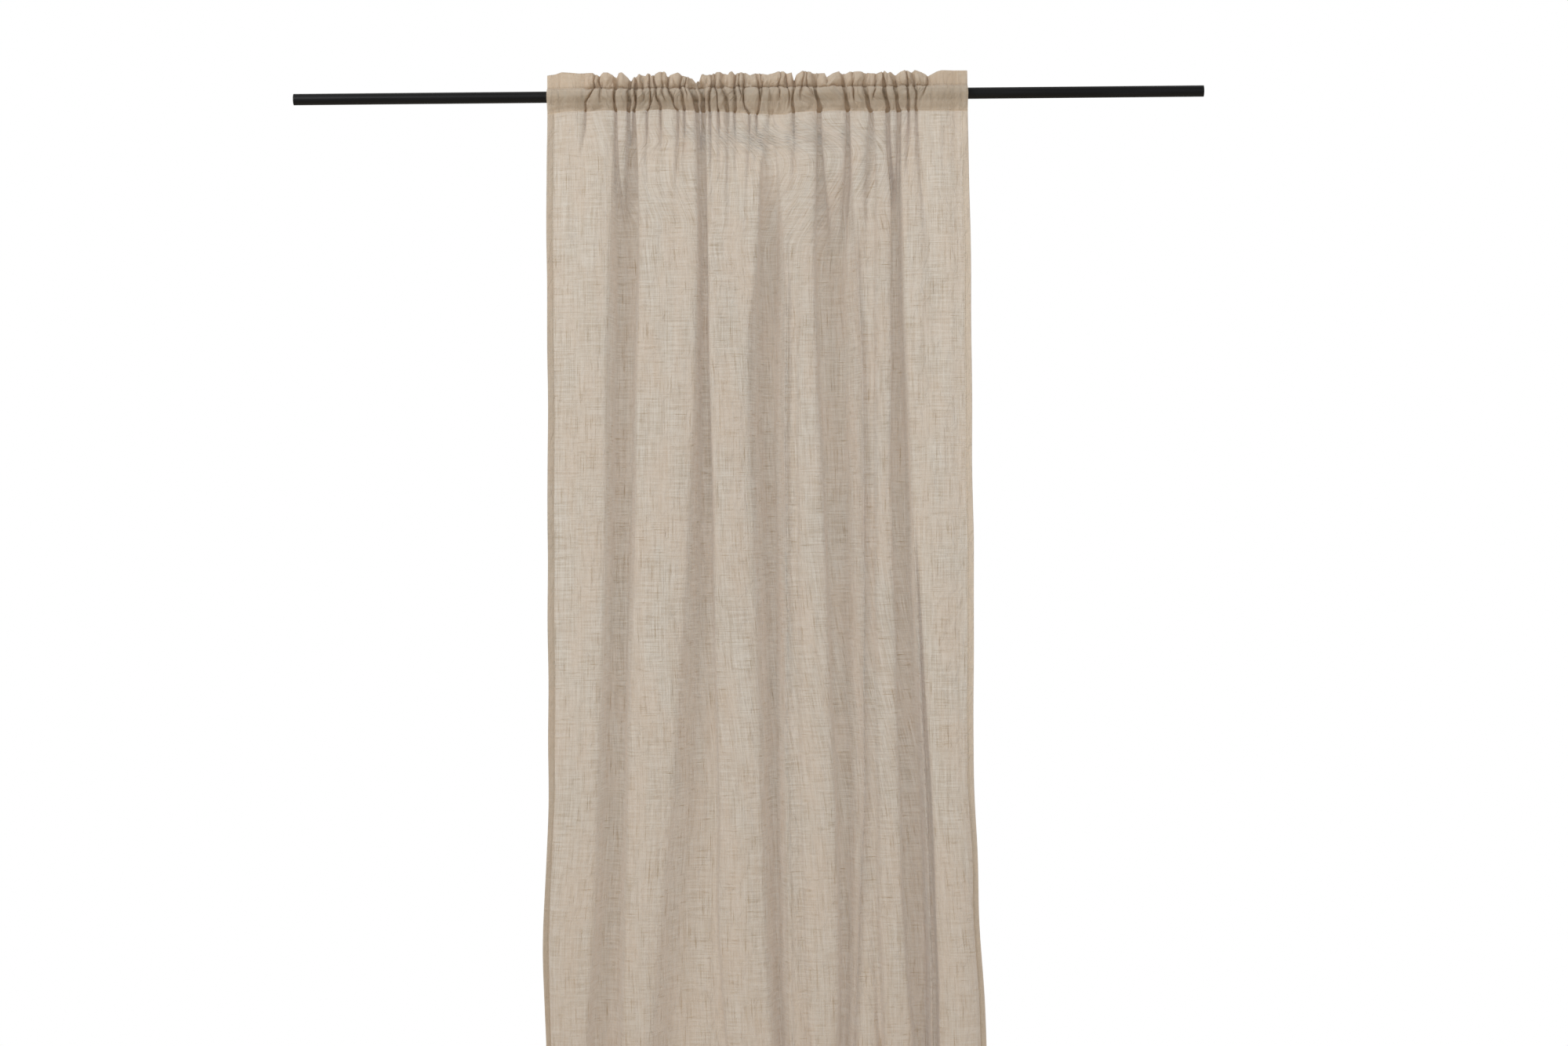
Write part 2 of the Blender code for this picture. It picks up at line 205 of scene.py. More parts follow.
# The side edges, and where the cloth turns back towards them low down.
LEFT_EDGE = (
    -353.4, -354.1, -354.7, -355.4, -354.7, -354.6, -355.2, -356.6, -358.5, -361.1, -375.4, -371.6,
    -376.4,
)
LEFT_TURN = (
    -329.9, -330.6, -331.3, -331.9, -332.6, -333.2, -334.6, -335.9, -339.9, -349.4, -364.4, -366.1,
    -366.8,
)
RIGHT_EDGE = (
    384.4, 384.4, 384.4, 385.1, 385.2, 385.2, 385.3, 385.3, 383.4, 383.6, 394, 403.4, 413.3,
)
RIGHT_TURN = (
    362.3, 361.6, 361, 361.7, 361, 361.8, 361.8, 363.3, 364.8, 371.8, 383, 391, 398.4,
)
# How far back the edges have turned, as a share of the folds' depth.
EDGE_BACK = (0, 0, 0, 0, 0, 0, 0, 0, 0, 0.10, 0.42, 0.42, 0.3)

# Width of a side edge's turn in millimetres, and how far back it stands in its middle.
EDGE_TURN, EDGE_BEND = 12, 0.7
# How far a tuck bows aside between the seams, how wide its crest is as a share of it, and over
# what height it closes after it has run out.
TUCK_BOW, TUCK_CREST, TUCK_CLOSES = 11, 0.35, 250
# Heights below the rod between which a fold's walls take their width, and their lower width.
WALLS_FORM, WALLS_SPREAD = (60, 400), (450, 900)
ISLAND_WALL = 0.8

COLUMNS = 700
HEADER_COLUMNS = 2 * COLUMNS
POCKET_ROWS, FRILL_ROWS, HEM_ROWS = 19, 12, 5
# A row's points before they are evened out, and how far its corners' rounding reaches.
POINT_STEP, ROUNDING_REACH = 0.0006, 28
# How many halvings find a row's depth, between the least and the most that a fold can have.
HALVINGS, FOLD_DEPTHS = 14, (0.002, 0.080)
# Rows of the drop are this far apart down to this far below the seam, and 22 mm below that.
ROW_STEPS = ((0.005, 0.09), (0.009, 0.25), (0.014, 0.45), (0.022, math.inf))
# Width beside each side edge that the rod doesn't gather, and over which its gathers begin.
FLAT_END, FLAT_END_FADE = 0.05, 0.03
# The pocket stands this far off the rod. Half the gap between its two layers, in millimetres.
POCKET_EASE, HALF_GAP = 1.6 * MM, 0.35
# No point of the pocket comes nearer the rod than this, and over this depth it is eased away.
ROD_CLEARANCE, CLEARANCE_BLEND = 1.3 * MM, 0.8 * MM
# Depth of the frill's ruffles, and of the thin creases between them, in millimetres.
RUFFLE, CREASE = 9.0, 5.0
# A turned hem's layers lie a little more than the cloth's thickness apart.
HEM_LOFT = 1.15
# A bobbin thread lies this many thicknesses of cloth behind the face.
BEHIND_HEM = 2.3
LABEL_SIZE, LABEL_THICKNESS = (0.030, 0.050), 0.0004
# The label follows these columns of the drop behind it.
LABEL_COLUMNS, LABEL_ROWS = (2, 18), 13
# Soft lights: place and aim, side of the square in metres, and power in watts.
LIGHTS = {
    "key_softbox": ((-2.1, -2.8, 1.4), (0.0, 0.0, -0.4), 1.7, 68.0),
    "fill_softbox": ((2.6, -3.2, 0.4), (0.0, 0.0, -0.6), 2.0, 20.0),
}
LIGHT_COLOUR = (0.97, 0.985, 1.0)
ROOM_COLOUR, ROOM_BEFORE, ROOM_BEHIND = (1, 0.993, 0.982, 1), 0.40, 0.80
FLOOR_SIZE, FLOOR_GAP = 6.8, 0.05
LENS, SENSOR, CAMERA_PLACE, CAMERA_TIP = 65.28, 36.0, (0.055, -5.0, -0.7525), -0.546


def smooth(start, end, value):
    """0 up to start, 1 from end, and a soft S between them."""
    share = np.clip((value - start) / (end - start), 0.0, 1.0)
    return share * share * (3 - 2 * share)


def ripple(x, y, z=0.0):
    """A repeatable random value from -1 to 1 that changes over one unit."""
    return noise.noise(Vector((x, y, z)))


def corners(heights):
    """The folds' corners at each height: place along the rod, share of the depth, and its cap."""
    below = -heights / MM
    above = np.clip((heights - SEAM_LOW) / (SEAM_TOP - SEAM_LOW), 0, 1)
    front, no_cap = np.zeros_like(heights), np.full_like(heights, 1e3)

    def keyed(table):
        return np.interp(below, KEYS, table)

    back = keyed(EDGE_BACK)
    left_edge, left_turn = keyed(LEFT_EDGE), keyed(LEFT_TURN)
    right_edge, right_turn = keyed(RIGHT_EDGE), keyed(RIGHT_TURN)
    # The edge's turn is 12 mm wide while it is flat, and narrower where it stands back.
    turn = EDGE_TURN - 16 * back / max(EDGE_BACK)
    found = [
        (left_edge, back, no_cap),
        (np.maximum((left_edge + left_turn) / 2, left_turn - turn), EDGE_BEND * back, no_cap),
        (left_turn, front, no_cap),
    ]
    facet = front
    for item in GATHERS:
        if isinstance(item, Tuck):
            fading = smooth(KEYS[0], item.ends, below)
            bow = TUCK_BOW * ripple(item.x, 0.37) * np.sin(math.pi * above)
            place = item.x + (item.runs_to - item.x) * fading + item.shift * above + bow
            half = (item.width + (item.opens - item.width) * fading) / 2
            cap = item.depth * (1 - fading)
            if isinstance(item, Pucker):
                cap = item.depth * smooth(item.fades, item.fades + 0.45, above)
                place = np.where(above > 0, place, found[-1][0] + half)
            else:
                left_behind = smooth(item.ends, item.ends + TUCK_CLOSES, below)
                half = half * (1 - left_behind)
                place = place + (found[-1][0] + half - place) * left_behind
            share = np.ones_like(heights)
            found += [
                (place - half, facet, no_cap),
                (place - half * TUCK_CREST, share, cap),
                (place + half * TUCK_CREST, share, cap),
                (place + half, facet, no_cap),
            ]
            continue
        left = keyed(item.left) + item.shift[0] * above
        right = keyed(item.right) + item.shift[1] * above
        deep = keyed(item.depth)
        slack = (right - left) / 2 - 0.6
        formed = smooth(*WALLS_FORM, below)
        spreads = smooth(*WALLS_SPREAD, below)
        wall = [item.wall[side] + (item.low_wall[side] - item.wall[side]) * spreads for side in (0, 1)]
        in_left = np.minimum(1 + (wall[0] - 1) * formed, slack)
        in_right = np.minimum(1 + (wall[1] - 1) * formed, slack)
        found += [(left, facet, no_cap), (left + in_left, deep, no_cap)]
        for start, end, start_low, end_low, closes in item.islands:
            gone = smooth(KEYS[0], closes, below)
            shift = (item.shift[0] + item.shift[1]) / 2 * above
            inside = (left + in_left + ISLAND_WALL, right - in_right - ISLAND_WALL)
            a = np.clip(start + (start_low - start) * gone + shift, *inside)
            b = np.clip(end + (end_low - end) * gone + shift, *inside)
            level = deep * smooth(0.0, 0.85, gone)
            found += [
                (a - ISLAND_WALL, deep, no_cap),
                (a + ISLAND_WALL, level, no_cap),
                (b - ISLAND_WALL, level, no_cap),
                (b + ISLAND_WALL, deep, no_cap),
            ]
        facet = keyed(item.after)
        found += [(right - in_right, deep, no_cap), (right, facet, no_cap)]
    found += [
        (right_turn, front, no_cap),
        (np.minimum((right_edge + right_turn) / 2, right_turn + turn), EDGE_BEND * back, no_cap),
        (right_edge, back, no_cap),
    ]
    places = np.maximum.accumulate(np.array([f[0] for f in found]), axis=0)
    places[1] = np.where(back > 0.05, found[1][0], places[1])
    places[-1] = right_edge
    shares = np.array([f[1] for f in found])
    caps = np.array([f[2] for f in found])
    return soften(places) * MM, soften(shares), soften(caps) * MM


def soften(table):
    """Takes the kinks out of tables of rows, so that folds change evenly down the cloth."""
    kernel = np.exp(-0.5 * (np.arange(-4, 5) / 1.6) ** 2)
    padded = np.pad(table, ((0, 0), (4, 4)), mode="edge")
    return np.array([np.convolve(row, kernel / kernel.sum(), "valid") for row in padded])


def row_curve(x, share, cap, depth, blur):
    """One row of the cloth seen from above, as close points, with its corners rounded."""
    y = np.minimum(share * depth, cap)
    spans = np.hypot(np.diff(x), np.diff(y))
    steps = np.maximum(1, np.ceil(spans / POINT_STEP).astype(int))
    start = np.repeat(np.arange(len(spans)), steps)
    inside = np.concatenate([np.arange(n) / n for n in steps])
    px = x[start] + (x[start + 1] - x[start]) * inside
    py = y[start] + (y[start + 1] - y[start]) * inside
    width = np.diff(x)[start]
    # Flat parts bulge a little, those in front forwards and those behind backwards.
    level = (y[start] + y[start + 1]) / 2 / max(depth, 1e-6)
    crown = np.where(np.abs(np.diff(y))[start] < 0.3 * width, np.minimum(0.12 * width, 0.007), 0)
    py = py + np.where(level < 0.5, -1, 1) * crown * np.sin(math.pi * inside)
    px, py = np.append(px, x[-1]), np.append(py, y[-1])
    along = arc((px, py))
    even = np.linspace(0, along[-1], round(along[-1] / POINT_STEP) + 1)
    px, py = np.interp(even, along, px), np.interp(even, along, py)
    reach = ROUNDING_REACH
    kernel = np.exp(-0.5 * (np.arange(-reach, reach + 1) * even[1] / blur) ** 2)
    kernel /= kernel.sum()
    rounded = []
    for line in (px, py):
        ends = (2 * line[0] - line[reach:0:-1], line, 2 * line[-1] - line[-2 : -reach - 2 : -1])
        rounded.append(np.convolve(np.concatenate(ends), kernel, "valid"))
    return np.array(rounded)


def arc(curve):
    """Length along a flat curve given as its x and its y, at each of its points."""
    return np.concatenate([[0], np.cumsum(np.hypot(*np.diff(curve, axis=1)))])


def folded_rows(heights, width, blurs, columns=COLUMNS):
    """Rows of the cloth at these heights, and how deep each row's folds are."""
    places, shares, caps = corners(heights)
    rows, depths = [], []
    for i in range(len(heights)):
        low, high = FOLD_DEPTHS
        for _ in range(HALVINGS):
            depth = (low + high) / 2
            curve = row_curve(places[:, i], shares[:, i], caps[:, i], depth, blurs[i])
            low, high = (depth, high) if arc(curve)[-1] < width else (low, depth)
        depths.append(depth)
    kernel = np.exp(-0.5 * (np.arange(-6, 7) / 2.6) ** 2)
    depths = np.convolve(np.pad(depths, 6, mode="edge"), kernel / kernel.sum(), "valid")
    for i, depth in enumerate(depths):
        curve = row_curve(places[:, i], shares[:, i], caps[:, i], depth, blurs[i])
        along = arc(curve)
        even = np.linspace(0, along[-1], columns + 1)
        x, y = np.interp(even, along, curve[0]), np.interp(even, along, curve[1])
        rows.append(np.stack([x, y - depth / 2, np.full_like(x, heights[i])], axis=1))
    return np.array(rows), depths


@functools.lru_cache(maxsize=None)
def drop_cloth(width):
    """The whole drop with its bottom hem: rows of points, and their heights."""
    heights = [SEAM_LOW]
    while heights[-1] > HEM_TOP + 0.02:
        below = SEAM_LOW - heights[-1]
        heights.append(heights[-1] - next(step for step, until in ROW_STEPS if below < until))
    heights[-1] = HEM_TOP
    heights += [HEM_TOP + (PANEL_BOTTOM - HEM_TOP) * (i + 1) / HEM_ROWS for i in range(HEM_ROWS)]
    heights = np.array(heights)
    below = SEAM_LOW - heights
    # Corners are sharp at the seam and round further down.
    blurs = 0.0012 + 0.0028 * smooth(0.0, 0.07, below) + 0.0020 * smooth(0.06, 0.40, below)
    rows, _ = folded_rows(heights, width, blurs)
    for i, z in enumerate(heights):
        loose = smooth(0.02, 0.5, below[i])
        near = smooth(0.0, 0.015, below[i]) * (1 - smooth(0.03, 0.25, below[i]))
        hangs = 1 - smooth(0.0, 0.15, below[i])
        for j, (x, y, _) in enumerate(rows[i]):
            sway = 2.2 * ripple(x / 0.09, z / 0.42, 1.7) + 0.7 * ripple(x / 0.03, z / 0.11, 5.1)
            puckers = 4.0 * ripple(x / 0.016, z / 0.09, 2.1) * near
            rows[i, j, 1] += sway * MM * loose + puckers * MM
            rows[i, j, 2] = z + hangs * along_rod(SEAM_RISE, x)
            rows[i, j, 0] += 2.5 * MM * loose * ripple(x / 0.12, z / 0.16, 8.3)
    return rows, heights


def along_rod(table, x):
    """A height from one of the heading's tables at each place along the rod, in metres."""
    places, values = zip(*table)
    return np.interp(x / MM, places, values) * MM


def crease(x, z, seed):
    """1 along thin wandering lines that fork and run out, and 0 between them."""
    bend = 0.5 * ripple(x / 0.05, z / 0.02, seed + 4.0)
    return math.exp(-((ripple(x / 0.016 + bend, z / 0.05, seed) / 0.13) ** 2))


def clear_of_rod(y, z, layer):
    """Keeps a point of the front (-1) or back (1) layer of the pocket outside the rod."""
    reach = ROD_RADIUS + ROD_CLEARANCE
    limit = math.sqrt(reach**2 - z**2) if abs(z) < reach else -3 * (abs(z) - reach)
    over = (layer * y - limit) / CLEARANCE_BLEND
    return layer * (limit + CLEARANCE_BLEND * (over if over > 20 else math.log1p(math.exp(over))))


@functools.lru_cache(maxsize=None)
def header_cloth(width, layer):
    """The rod pocket and the frill of the front (-1) or back (1) layer, from the lower seam up."""
    pocket = np.linspace(SEAM_LOW, SEAM_TOP, POCKET_ROWS)
    frill = np.linspace(SEAM_TOP, FRILL_TOP, FRILL_ROWS + 1)[1:]
    heights = np.concatenate([pocket, frill])
    blurs = 0.0012 + 0.0004 * smooth(SEAM_TOP, FRILL_TOP, heights)
    rows, depths = folded_rows(heights, width, blurs, HEADER_COLUMNS)
    # The layers meet just above the lower seam, and run straight from there to the rod.
    meets = SEAM_LOW + 0.005
    leaves = ROD_RADIUS**2 / meets
    dips = np.array(FRILL_DIPS) * MM
    flat = np.linspace(0, width, HEADER_COLUMNS + 1)
    for i, z in enumerate(heights):
        from_edge = np.minimum(rows[i, :, 0] - rows[i, 0, 0], rows[i, -1, 0] - rows[i, :, 0])
        loose = smooth(FLAT_END, FLAT_END + FLAT_END_FADE, from_edge)
        rise = max(0.0, (z - SEAM_TOP) / (FRILL_TOP - SEAM_TOP))
        free = min(1.0, 2.0 * math.sin(math.pi * (z - SEAM_LOW) / (SEAM_TOP - SEAM_LOW)))
        if z >= 0:
            opening = math.sqrt(max(0.0, 1 - (z / SEAM_TOP) ** 2))
        else:
            round_rod = math.sqrt(1 - (max(z, leaves) / ROD_RADIUS) ** 2)
            opening = round_rod * min(max((meets - z) / (meets - leaves), 0.0), 1.0)
        stand = (ROD_RADIUS + POCKET_EASE + depths[i] / 2) * opening
        for j, (x, y, _) in enumerate(rows[i]):
            pull = 5.0 * ripple(x / 0.020, z / 0.03, 2.7) + 2.5 * ripple(x / 0.008, z / 0.02, 4.9)
            line = crease(flat[j], z + 0.3 * layer, 2.7)
            seam_wave = 4.0 * ripple(x / 0.012, 3.1) * loose[j] * max(0.0, 1 - abs(z - SEAM_TOP) / 0.012)
            if rise == 0:
                x += pull * free * loose[j] * MM
                puff = 3.2 + 5.0 * ripple(flat[j] / 0.022, z / 0.025, 7.7) - 3.0 * line
                y += layer * (HALF_GAP * MM + stand + max(0.2, puff) * free * (0.2 + 0.8 * loose[j]) * MM)
                hangs = min(max((-0.004 - z) / (-0.004 - SEAM_LOW), 0.0), 1.0)
                z_moved = z + hangs * along_rod(SEAM_RISE, x) + seam_wave * MM
                if 0 < i < len(pocket) - 1:
                    y = clear_of_rod(y, z_moved, layer)
            else:
                x += (pull + 7.0 * ripple(x / 0.03, 2.2)) * min(1.0, 1.6 * rise) * loose[j] * MM
                lobe = int(np.searchsorted(dips, x))
                start, end = dips[lobe - 1], dips[lobe]
                hump = math.sin(math.pi * min(max((x - start) / (end - start), 0.0), 1.0)) ** 0.6
                roll = math.sin(math.pi * min(0.15 + 0.95 * rise, 1.0))
                big = min(1.0, (end - start) / 0.026) * loose[j]
                tip = 9.0 * ripple(lobe * 1.9, 5.5) * rise * rise * loose[j]
                rolled = roll * (CREASE * line * loose[j] - RUFFLE * big * hump)
                body = math.sin(math.pi * min(rise, 1.0))
                apart = HALF_GAP + (0.8 + (1.4 + 2.2 * big * hump - 1.2 * line) * loose[j]) * body
                y = y * (1 - 0.2 * rise) + (tip + rolled + layer * apart) * MM
                z_moved = SEAM_TOP + (along_rod(FRILL_LINE, x) - SEAM_TOP - 0.7 * MM) * rise + seam_wave * MM
            rows[i, j] = (x, y, z_moved)
    return rows, heights


def normals(rows):
    """Unit normals of a grid of points, which point to the back of the panel."""
    across = np.gradient(rows, axis=1)
    down = np.gradient(rows, axis=0)
    crossed = np.cross(across, down)
    crossed /= np.maximum(np.linalg.norm(crossed, axis=2, keepdims=True), 1e-12)
    return -crossed if rows[0, 0, 2] < rows[-1, 0, 2] else crossed


def deselect():
    """Leaves nothing selected or active."""
    for item in list(bpy.context.selected_objects):
        item.select_set(False)
    bpy.context.view_layer.objects.active = None


def new_piece(name, points, faces, finish):
    """A smooth object at the origin, with one finish."""
    mesh = bpy.data.meshes.new(name)
    mesh.from_pydata(points.reshape(-1, 3).tolist(), [], faces)
    mesh.polygons.foreach_set("use_smooth", [True] * len(faces))
    mesh.materials.append(finish)
    mesh.update()
    piece = bpy.data.objects.new(name, mesh)
    bpy.context.scene.collection.objects.link(piece)
    return piece


def cloth_piece(name, grid, across, down, finish):
    """A mesh from a grid of points, with a UV map in metres of cloth."""
    count, wide = grid.shape[:2]
    index = np.arange(count * wide).reshape(count, wide)
    quads = np.stack([index[:-1, :-1], index[1:, :-1], index[1:, 1:], index[:-1, 1:]], axis=2)
    quads = quads.reshape(-1, 4)
    piece = new_piece(name, grid, quads.tolist(), finish)
    flat = np.stack([np.broadcast_to(across, (count, wide)), np.broadcast_to(down, (count, wide))], axis=2)
    layer = piece.data.uv_layers.new(name="cloth_metres")
    layer.data.foreach_set("uv", flat.reshape(-1, 2)[quads.reshape(-1)].astype(np.float32).reshape(-1))
    return piece


def gather(piece):
    """Bakes the piece's placing into its mesh, which then sits at the origin."""
    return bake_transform(piece)


def distances(line):
    """Length along a line, at each of its points."""
    return np.concatenate([[0], np.cumsum(np.linalg.norm(np.diff(line, axis=0), axis=1))])


def path_length(rows):
    """Metres of cloth from the first row down or up to each row, along the middle column."""
    return distances(rows[:, rows.shape[1] // 2])


# ---------------------------------------------------------------------------- materials

# The sockets of a Mix node that mixes colours: the first, the second, and the result.
FIRST, SECOND, MIXED = 6, 7, 2

# The linen's patterns: pitch across the threads and run along them in metres, whether they run up
# the cloth, the noise's detail and seed, and the noise levels that give none and all of it.
LINEN_PATTERNS = {
    # Bundles of warp and weft threads. A thread of 0.35 mm can't show, so they are 1.6 mm wide.
    "warp": (0.0016, 0.070, True, 2.0, 3.0, 0.0, 1.0),
    "weft": (0.0018, 0.055, False, 2.0, 7.0, 0.0, 1.0),
    # Long faint stripes, where the warp is a little denser.
    "streak": (0.007, 0.45, True, 2.0, 41.0, 0.0, 1.0),
    # Slubs: thick places 60 mm and 34 mm long in single yarns.
    "slub_up": (0.0024, 0.060, True, 1.0, 11.0, 0.66, 0.76),
    "slub_across": (0.0020, 0.034, False, 1.0, 17.0, 0.68, 0.78),
    "cloud": (0.05, 0.16, True, 2.0, 23.0, 0.35, 0.65),
    "fleck": (0.003, 0.006, True, 0.0, 29.0, 0.74, 0.80),
    # The weave itself, 0.9 mm from thread to thread, for the bump alone.
    "fine_up": (0.0009, 0.020, True, 1.0, 31.0, 0.0, 1.0),
    "fine_across": (0.0009, 0.020, False, 1.0, 37.0, 0.0, 1.0),
}
TONE_SHARES = {"warp": 0.435, "weft": 0.435, "streak": 0.13}
# Metres below the pocket's seam over which the cloth is mixed darker and warmer toward the floor, a painted
# shade.
PAINTED_SHADE_SPAN = (-1.0, -1.7)
# Soft crumples of washed linen, 12 by 25 mm.
CRUMPLES_PER_METRE = (85, 40, 1)
# The share of light that the fibres pass on, and the open share of the weave, least and added.
THROUGH_SHARE, OPEN_LEAST, OPEN_ADDED = 0.34, 0.11, 0.08
# How much of their own colour slubs show, and how far they close the weave.
THICK_SHARE, SLUB_CLOSES = 0.35, 0.105
# Painted light: layers send more light back than one layer does, so they are mixed toward a paler colour;
# how much of the paler colour each place has.
HEADING_PAINTED_LIGHT = 0.45
# Painted light on the side hems: each is mixed toward the paler colour of layers, the right hem far more, as
# if light caught its edge.
HEM_PAINTED_LIGHT = {"left_side_hem": ("linen_voile_hem_painted_light", 0.4), "right_side_hem": ("linen_voile_lit_hem_painted_light", 0.95)}


def linear(colour):
    """An sRGB hex colour as linear red, green, blue and alpha."""
    values = [int(colour[i : i + 2], 16) / 255 for i in (0, 2, 4)]
    return (*(v / 12.92 if v <= 0.04045 else ((v + 0.055) / 1.055) ** 2.4 for v in values), 1.0)


def add_node(tree, kind, inputs=None, **settings):
    """Adds a node. An input is a value, a socket to link, or a node whose first output is linked."""
    node = tree.nodes.new("ShaderNode" + kind)
    for key, value in settings.items():
        setattr(node, key, value)
    for key, value in (inputs or {}).items():
        if isinstance(value, bpy.types.Node):
            value = value.outputs[0]
        if isinstance(value, bpy.types.NodeSocket):
            tree.links.new(value, node.inputs[key])
        else:
            node.inputs[key].default_value = value
    return node


def blank_material(name, colour):
    """A material with no nodes, and the function that adds them."""
    made = bpy.data.materials.get(name) or bpy.data.materials.new(name)
    made.use_nodes = True
    made.node_tree.nodes.clear()
    made.diffuse_color = linear(colour)
    return made, functools.partial(add_node, made.node_tree)


def threads(add, place, pitch, run, upright, detail, seed):
    """Noise drawn out along one thread direction: pitch across it and run along it, in metres."""
    scale = (1 / pitch, 1 / run, 1) if upright else (1 / run, 1 / pitch, 1)
    mapped = add("Mapping", {"Vector": place, "Scale": scale, "Location": (seed, seed * 1.7, 0)})
    grain = {"Vector": mapped, "Scale": 1.0, "Detail": detail, "Roughness": 0.6}
    return add("TexNoise", grain, noise_dimensions="2D")


def linen_material(looks, name="linen_voile", painted_light_colour="FFFFFF", pale=0.0):
    """Semi-sheer linen voile, plain woven from unbleached flax with slubs in both directions: a dull, dry
    surface that glows where light comes through. Layers of it are mixed paler, a painted light, and the
    cloth is mixed darker and warmer toward the floor, a painted shade."""
    made, add = blank_material(name, looks.linen)
    place = add("UVMap", uv_map="cloth_metres")
    pattern = {}
    for key, (*shape, low, high) in LINEN_PATTERNS.items():
        found = threads(add, place, *shape)
        pattern[key] = add("MapRange", {"Value": found, "From Min": low, "From Max": high})
    tone = 0.0
    for key, share in TONE_SHARES.items():
        tone = add("Math", {0: pattern[key], 1: share, 2: tone}, operation="MULTIPLY_ADD")
    tone = add("MapRange", {"Value": tone, "From Min": 0.38, "From Max": 0.61})
    thick = add("Math", {0: pattern["slub_up"], 1: pattern["slub_across"]}, operation="MAXIMUM")
    # Painted shade: the cloth is mixed darker and warmer toward the floor.
    height = add("SeparateXYZ", {"Vector": place}).outputs["Y"]
    painted_shade_below = {"Value": height, "From Min": PAINTED_SHADE_SPAN[0], "From Max": PAINTED_SHADE_SPAN[1]}
    yarn = linear(looks.linen_shade)
    for amount, most, shade in (
        (tone, 1.0, looks.linen),
        (pattern["cloud"], 0.5, looks.linen_warm),
        (thick, THICK_SHARE, looks.linen_slub),
        (pattern["fleck"], 0.2, looks.linen_fleck),
        # Painted shade toward the floor.
        (add("MapRange", painted_shade_below, interpolation_type="SMOOTHSTEP"), 0.32, looks.linen_painted_low_shade),
        # Painted light: layered cloth mixed toward a paler colour.
        (1.0, pale, painted_light_colour),
    ):
        factor = add("Math", {0: amount, 1: most}, operation="MULTIPLY")
        colours = {"Factor": factor, FIRST: yarn, SECOND: linear(shade)}
        yarn = add("Mix", colours, data_type="RGBA").outputs[MIXED]
    crumpled_at = add("Mapping", {"Vector": place, "Scale": CRUMPLES_PER_METRE})
    crumple = add("TexNoise", {
        "Vector": crumpled_at, "Scale": 1.0, "Detail": 3.0, "Roughness": 0.55, "Distortion": 0.5,
    }, noise_dimensions="2D")
    rumpled = add("Bump", {"Height": crumple, "Strength": 0.8, "Distance": 0.005})
    weave = add("Math", {0: pattern["fine_up"], 1: pattern["fine_across"]}, operation="ADD")
    relief = add("Math", {0: thick, 1: THICK_SHARE, 2: weave}, operation="MULTIPLY_ADD")
    bump = add("Bump", {"Height": relief, "Strength": 0.35, "Distance": 0.0006, "Normal": rumpled})
    shell = add("BsdfPrincipled", {
        "Base Color": yarn, "Roughness": 0.88, "Specular IOR Level": 0.2, "Normal": bump,
        "Sheen Weight": 0.15, "Sheen Roughness": 0.5,
    })
    passed = {"Factor": 0.5, FIRST: yarn, SECOND: linear(looks.linen_through)}
    passed = add("Mix", passed, data_type="RGBA").outputs[MIXED]
    through = add("BsdfTranslucent", {"Color": passed, "Normal": bump})
    woven = add("MixShader", {0: THROUGH_SHARE, 1: shell, 2: through})
    # The gaps between threads close where the threads are thick.
    open_share = add("Math", {0: tone, 1: OPEN_ADDED, 2: OPEN_LEAST}, operation="MULTIPLY_ADD")
    open_share = add("Math", {0: thick, 1: -SLUB_CLOSES, 2: open_share}, operation="MULTIPLY_ADD")
    gaps = add("BsdfTransparent", {"Color": (1, 1, 1, 1)})
    add("OutputMaterial", {"Surface": add("MixShader", {0: open_share, 1: woven, 2: gaps})})
    return made


def finish_plain(add, pattern, shades, strength, distance, surface):
    """Ends a material: two shades mixed by its pattern, which is its relief too."""
    first, second = map(linear, shades)
    mixed = add("Mix", {"Factor": pattern, FIRST: first, SECOND: second}, data_type="RGBA")
    bump = add("Bump", {"Height": pattern, "Strength": strength, "Distance": distance})
    shell = add("BsdfPrincipled", {"Base Color": mixed.outputs[MIXED], "Normal": bump, **surface})
    add("OutputMaterial", {"Surface": shell})


def thread_material(looks):
    """Spun polyester sewing thread, dyed to the cloth: a soft sheen and a slight twist."""
    made, add = blank_material("spun_polyester_thread", looks.thread)
    # Turns of the twist, about 1.1 mm apart.
    twist = add("TexNoise", {"Vector": add("TexCoord").outputs["Object"], "Scale": 900.0, "Detail": 1.0})
    finish_plain(add, twist, (looks.thread_shade, looks.thread), 0.4, 0.0001, {"Roughness": 0.55})
    return made


def rod_material(looks):
    """Steel tube with a satin black powder coat: a broad soft highlight and a faint orange peel."""
    made, add = blank_material("powder_coated_steel", looks.rod)
    place = add("TexCoord").outputs["Object"]
    # Orange peel of about 1.2 mm, and wear in patches drawn out along the rod.
    peel = add("TexNoise", {"Vector": place, "Scale": 800.0, "Detail": 2.0})
    worn_at = add("Mapping", {"Vector": place, "Scale": (6, 90, 90)})
    worn = add("TexNoise", {"Vector": worn_at, "Scale": 1.0, "Detail": 3.0})
    patches = add("MapRange", {"Value": worn, "From Min": 0.45, "From Max": 0.75})
    colours = {"Factor": patches, FIRST: linear(looks.rod), SECOND: linear(looks.rod_worn)}
    shell = add("BsdfPrincipled", {
        "Base Color": add("Mix", colours, data_type="RGBA").outputs[MIXED], "Specular IOR Level": 0.22,
        "Roughness": add("Math", {0: worn, 1: 0.12, 2: 0.36}, operation="MULTIPLY_ADD"),
        "Normal": add("Bump", {"Height": peel, "Strength": 0.10, "Distance": 0.0002}),
    })
    add("OutputMaterial", {"Surface": shell})
    return made


